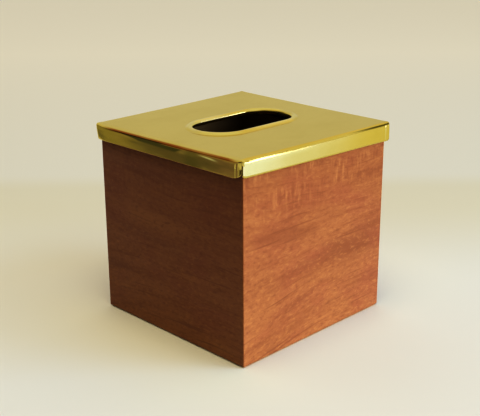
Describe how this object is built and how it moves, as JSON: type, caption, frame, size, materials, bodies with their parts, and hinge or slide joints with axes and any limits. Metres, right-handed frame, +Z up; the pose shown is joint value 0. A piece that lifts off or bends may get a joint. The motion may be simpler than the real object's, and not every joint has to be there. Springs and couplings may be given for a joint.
{
  "type": "tissue box cover",
  "caption": "Square wooden tissue box cover with mitred walls, a let-in base on felt feet and a lift-off folded brass lid with a raised oval tissue slot.",
  "frame": {"origin": "on the table, under the middle of the box", "axes": "+Z up, the front wall faces -Y, +X points to the right seen from the front, and the tissue slot runs along X"},
  "size_m": [0.1454, 0.1454, 0.1412],
  "materials": {
    "mahogany": "satin lacquer over figured red-brown wood",
    "pale_wood": "raw",
    "plywood": "stained, raw sheen",
    "dark_wood": "dark stained",
    "felt": "pressed felt",
    "brass": "polished and lacquered sheet",
    "pin_steel": "bright wire"
  },
  "bodies": {
    "box": {"front_wall": "mahogany", "right_wall": "mahogany", "back_wall": "mahogany", "left_wall": "mahogany", "spline_front_right": "pale_wood", "spline_right_back": "pale_wood", "spline_back_left": "pale_wood", "spline_left_front": "pale_wood", "base_panel": "plywood", "base_pins": "pin_steel", "foot_front_left": "felt", "foot_front_right": "felt", "foot_back_left": "felt", "foot_back_right": "felt", "bumper_front_left": "felt", "bumper_front_right": "felt", "bumper_back_left": "felt", "bumper_back_right": "felt"},
    "lid": {"lid_sheet": "brass", "front_cleat": "dark_wood", "right_cleat": "dark_wood", "back_cleat": "dark_wood", "left_cleat": "dark_wood"}
  },
  "joints": [
    {"name": "lid_lift", "type": "slide", "parent": "box", "child": "lid", "axis": [0, 0, 1], "range_m": [0, 0.15]}
  ]
}
